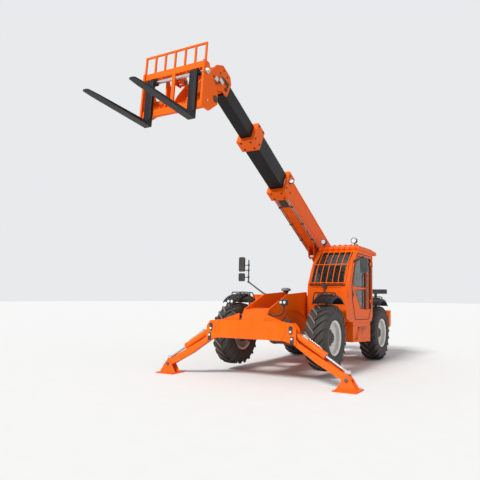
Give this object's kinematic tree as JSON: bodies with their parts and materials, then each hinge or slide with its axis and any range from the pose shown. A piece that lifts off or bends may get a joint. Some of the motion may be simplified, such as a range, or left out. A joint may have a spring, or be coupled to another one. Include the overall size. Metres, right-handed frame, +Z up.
{
  "type": "telehandler",
  "caption": "Four-wheel telescopic handler with a closed cab beside a telescoping boom, pallet forks on a tilting carriage and two front stabiliser legs.",
  "frame": {"origin": "on the ground, under the middle of the machine's length and width", "axes": "+X forward, +Y to the machine's left, +Z up"},
  "size_m": [9.3003, 4.024, 5.337],
  "materials": {
    "body_paint": "satin",
    "black_paint": "satin",
    "chrome_rod": "polished",
    "dark_steel": "matte",
    "rim_paint": "satin",
    "tyre_rubber": "matte",
    "black_plastic": "matte",
    "seat_cover": "matte",
    "window_glass": "clear"
  },
  "bodies": {
    "chassis": {"main_frame": "body_paint", "nose_cover": "body_paint", "head_lamps": "black_paint", "stabiliser_beam": "body_paint", "front_axle": "black_paint", "rear_axle": "black_paint", "counterweight": "body_paint", "rear_light_bar": "black_paint", "engine_block": "dark_steel", "engine_hood": "body_paint", "pre_cleaner": "black_plastic", "cab_shell": "body_paint", "cab_glass": "window_glass", "cab_roof": "body_paint", "screen_guard": "body_paint", "roof_lamps": "black_paint", "side_box": "body_paint", "seat": "seat_cover", "seat_base": "black_plastic", "steering_column": "black_plastic", "right_mirrors": "black_plastic", "left_mirror": "black_plastic"},
    "steer_front_left": {"knuckle_front_left": "black_paint", "fender_front_left": "black_plastic"},
    "wheel_front_left": {"rim_front_left": "rim_paint", "tyre_front_left": "tyre_rubber"},
    "steer_front_right": {"knuckle_front_right": "black_paint", "fender_front_right": "black_plastic"},
    "wheel_front_right": {"rim_front_right": "rim_paint", "tyre_front_right": "tyre_rubber"},
    "steer_rear_left": {"knuckle_rear_left": "black_paint", "fender_rear_left": "black_plastic"},
    "wheel_rear_left": {"rim_rear_left": "rim_paint", "tyre_rear_left": "tyre_rubber"},
    "steer_rear_right": {"knuckle_rear_right": "black_paint", "fender_rear_right": "black_plastic"},
    "wheel_rear_right": {"rim_rear_right": "rim_paint", "tyre_rear_right": "tyre_rubber"},
    "door": {"door": "body_paint", "door_glass": "window_glass"},
    "boom_outer": {"boom_outer": "body_paint"},
    "boom_mid": {"boom_mid": "black_paint"},
    "boom_inner": {"boom_inner": "black_paint", "boom_head": "body_paint"},
    "carriage": {"carriage": "body_paint"},
    "fork_left": {"fork_left": "dark_steel"},
    "fork_right": {"fork_right": "dark_steel"},
    "lift_barrel": {"lift_barrel": "black_paint"},
    "lift_rod": {"lift_rod": "chrome_rod"},
    "tilt_barrel": {"tilt_barrel": "black_paint"},
    "tilt_rod": {"tilt_rod": "chrome_rod"},
    "leg_left": {"leg_left": "body_paint"},
    "foot_left": {"foot_left": "dark_steel"},
    "leg_ram_barrel_left": {"leg_ram_barrel_left": "black_paint"},
    "leg_ram_rod_left": {"leg_ram_rod_left": "chrome_rod"},
    "leg_right": {"leg_right": "body_paint"},
    "foot_right": {"foot_right": "dark_steel"},
    "leg_ram_barrel_right": {"leg_ram_barrel_right": "black_paint"},
    "leg_ram_rod_right": {"leg_ram_rod_right": "chrome_rod"}
  },
  "joints": [
    {"name": "steer_front_left", "type": "hinge", "parent": "chassis", "child": "steer_front_left", "pos_m": [-0.15087, 0.79, 0.73214], "axis": [-0.0349, 0, 0.9994], "range_deg": [-35, 35]},
    {"name": "spin_front_left", "type": "hinge", "parent": "steer_front_left", "child": "wheel_front_left", "pos_m": [-0.15087, 0.9875, 0.73214], "axis": [0, 1, 0], "continuous": true},
    {"name": "steer_front_right", "type": "hinge", "parent": "chassis", "child": "steer_front_right", "pos_m": [-0.15087, -0.79, 0.73214], "axis": [-0.0349, 0, 0.9994], "range_deg": [-35, 35]},
    {"name": "spin_front_right", "type": "hinge", "parent": "steer_front_right", "child": "wheel_front_right", "pos_m": [-0.15087, -0.9875, 0.73214], "axis": [0, 1, 0], "continuous": true},
    {"name": "steer_rear_left", "type": "hinge", "parent": "chassis", "child": "steer_rear_left", "pos_m": [-3.219, 0.79, 0.625], "axis": [-0.0349, 0, 0.9994], "range_deg": [-35, 35]},
    {"name": "spin_rear_left", "type": "hinge", "parent": "steer_rear_left", "child": "wheel_rear_left", "pos_m": [-3.219, 0.9875, 0.625], "axis": [0, 1, 0], "continuous": true},
    {"name": "steer_rear_right", "type": "hinge", "parent": "chassis", "child": "steer_rear_right", "pos_m": [-3.219, -0.79, 0.625], "axis": [-0.0349, 0, 0.9994], "range_deg": [-35, 35]},
    {"name": "spin_rear_right", "type": "hinge", "parent": "steer_rear_right", "child": "wheel_rear_right", "pos_m": [-3.219, -0.9875, 0.625], "axis": [0, 1, 0], "continuous": true},
    {"name": "door_hinge", "type": "hinge", "parent": "chassis", "child": "door", "pos_m": [-2.51199, 1.164, 1.52522], "axis": [-0.0349, 0, 0.9994], "range_deg": [0, 90]},
    {"name": "boom_lift", "type": "hinge", "parent": "chassis", "child": "boom_outer", "pos_m": [-3.81618, 0, 1.6798], "axis": [0, -1, 0], "range_deg": [-29, 38]},
    {"name": "telescope_mid", "type": "slide", "parent": "boom_outer", "child": "boom_mid", "axis": [0.8729, 0, 0.4879], "range_m": [-0.96, 2.2]},
    {"name": "telescope_inner", "type": "slide", "parent": "boom_mid", "child": "boom_inner", "axis": [0.8729, 0, 0.4879], "range_m": [-0.96, 2.2]},
    {"name": "carriage_tilt", "type": "hinge", "parent": "boom_inner", "child": "carriage", "pos_m": [3.04799, 0, 4.40828], "axis": [0, -1, 0], "range_deg": [-65, 30]},
    {"name": "fork_slide_left", "type": "slide", "parent": "carriage", "child": "fork_left", "axis": [0, 1, 0], "range_m": [-0.26, 0.06]},
    {"name": "fork_slide_right", "type": "slide", "parent": "carriage", "child": "fork_right", "axis": [0, -1, 0], "range_m": [-0.26, 0.06]},
    {"name": "lift_barrel_hinge", "type": "hinge", "parent": "chassis", "child": "lift_barrel", "pos_m": [-3.43127, 0, 0.9728], "axis": [0, -1, 0], "range_deg": [-26.6, 34.7]},
    {"name": "lift_rod_slide", "type": "slide", "parent": "lift_barrel", "child": "lift_rod", "axis": [0.7462, 0, 0.6657], "range_m": [-0.3596, 0.4697]},
    {"name": "tilt_barrel_hinge", "type": "hinge", "parent": "boom_inner", "child": "tilt_barrel", "pos_m": [2.07271, 0, 4.94808], "axis": [0, -1, 0], "range_deg": [-4.51, 2.35]},
    {"name": "tilt_rod_slide", "type": "slide", "parent": "tilt_barrel", "child": "tilt_rod", "axis": [0.9789, 0, -0.2041], "range_m": [-0.169, 0.3603]},
    {"name": "leg_raise_left", "type": "hinge", "parent": "chassis", "child": "leg_left", "pos_m": [0.95293, 0.845, 0.7857], "axis": [0.9994, 0, 0.0349], "range_deg": [0, 95]},
    {"name": "foot_swivel_left", "type": "hinge", "parent": "leg_left", "child": "foot_left", "pos_m": [0.97401, 1.812, 0.182], "axis": [0.9994, 0, 0.0349], "range_deg": [-25, 25]},
    {"name": "leg_ram_hinge_left", "type": "hinge", "parent": "chassis", "child": "leg_ram_barrel_left", "pos_m": [0.94874, 0.82, 0.90562], "axis": [0.9994, 0, 0.0349], "range_deg": [-0.5, 94.68]},
    {"name": "leg_ram_slide_left", "type": "slide", "parent": "leg_ram_barrel_left", "child": "leg_ram_rod_left", "axis": [0.0183, 0.8511, -0.5248], "range_m": [-0.1861, 0.005]},
    {"name": "leg_raise_right", "type": "hinge", "parent": "chassis", "child": "leg_right", "pos_m": [0.95293, -0.845, 0.7857], "axis": [-0.9994, 0, -0.0349], "range_deg": [0, 95]},
    {"name": "foot_swivel_right", "type": "hinge", "parent": "leg_right", "child": "foot_right", "pos_m": [0.97401, -1.812, 0.182], "axis": [-0.9994, 0, -0.0349], "range_deg": [-25, 25]},
    {"name": "leg_ram_hinge_right", "type": "hinge", "parent": "chassis", "child": "leg_ram_barrel_right", "pos_m": [0.94874, -0.82, 0.90562], "axis": [-0.9994, 0, -0.0349], "range_deg": [-0.5, 94.68]},
    {"name": "leg_ram_slide_right", "type": "slide", "parent": "leg_ram_barrel_right", "child": "leg_ram_rod_right", "axis": [0.0183, -0.8511, -0.5248], "range_m": [-0.1861, 0.005]}
  ],
  "couplings": [
    {"joint": "steer_front_right", "follows": "steer_front_left", "ratio": 1},
    {"joint": "steer_rear_right", "follows": "steer_rear_left", "ratio": 1},
    {"joint": "telescope_inner", "follows": "telescope_mid", "ratio": 1},
    {"joint": "lift_barrel_hinge", "follows": "boom_lift", "ratio": 0.9},
    {"joint": "lift_rod_slide", "follows": "boom_lift", "m_per_rad": 0.70068},
    {"joint": "tilt_barrel_hinge", "follows": "carriage_tilt", "ratio": 0.0617},
    {"joint": "tilt_rod_slide", "follows": "carriage_tilt", "m_per_rad": -0.31321},
    {"joint": "leg_ram_hinge_left", "follows": "leg_raise_left", "ratio": 0.9914},
    {"joint": "leg_ram_slide_left", "follows": "leg_raise_left", "m_per_rad": -0.10921},
    {"joint": "leg_ram_hinge_right", "follows": "leg_raise_right", "ratio": 0.9914},
    {"joint": "leg_ram_slide_right", "follows": "leg_raise_right", "m_per_rad": -0.10921}
  ]
}
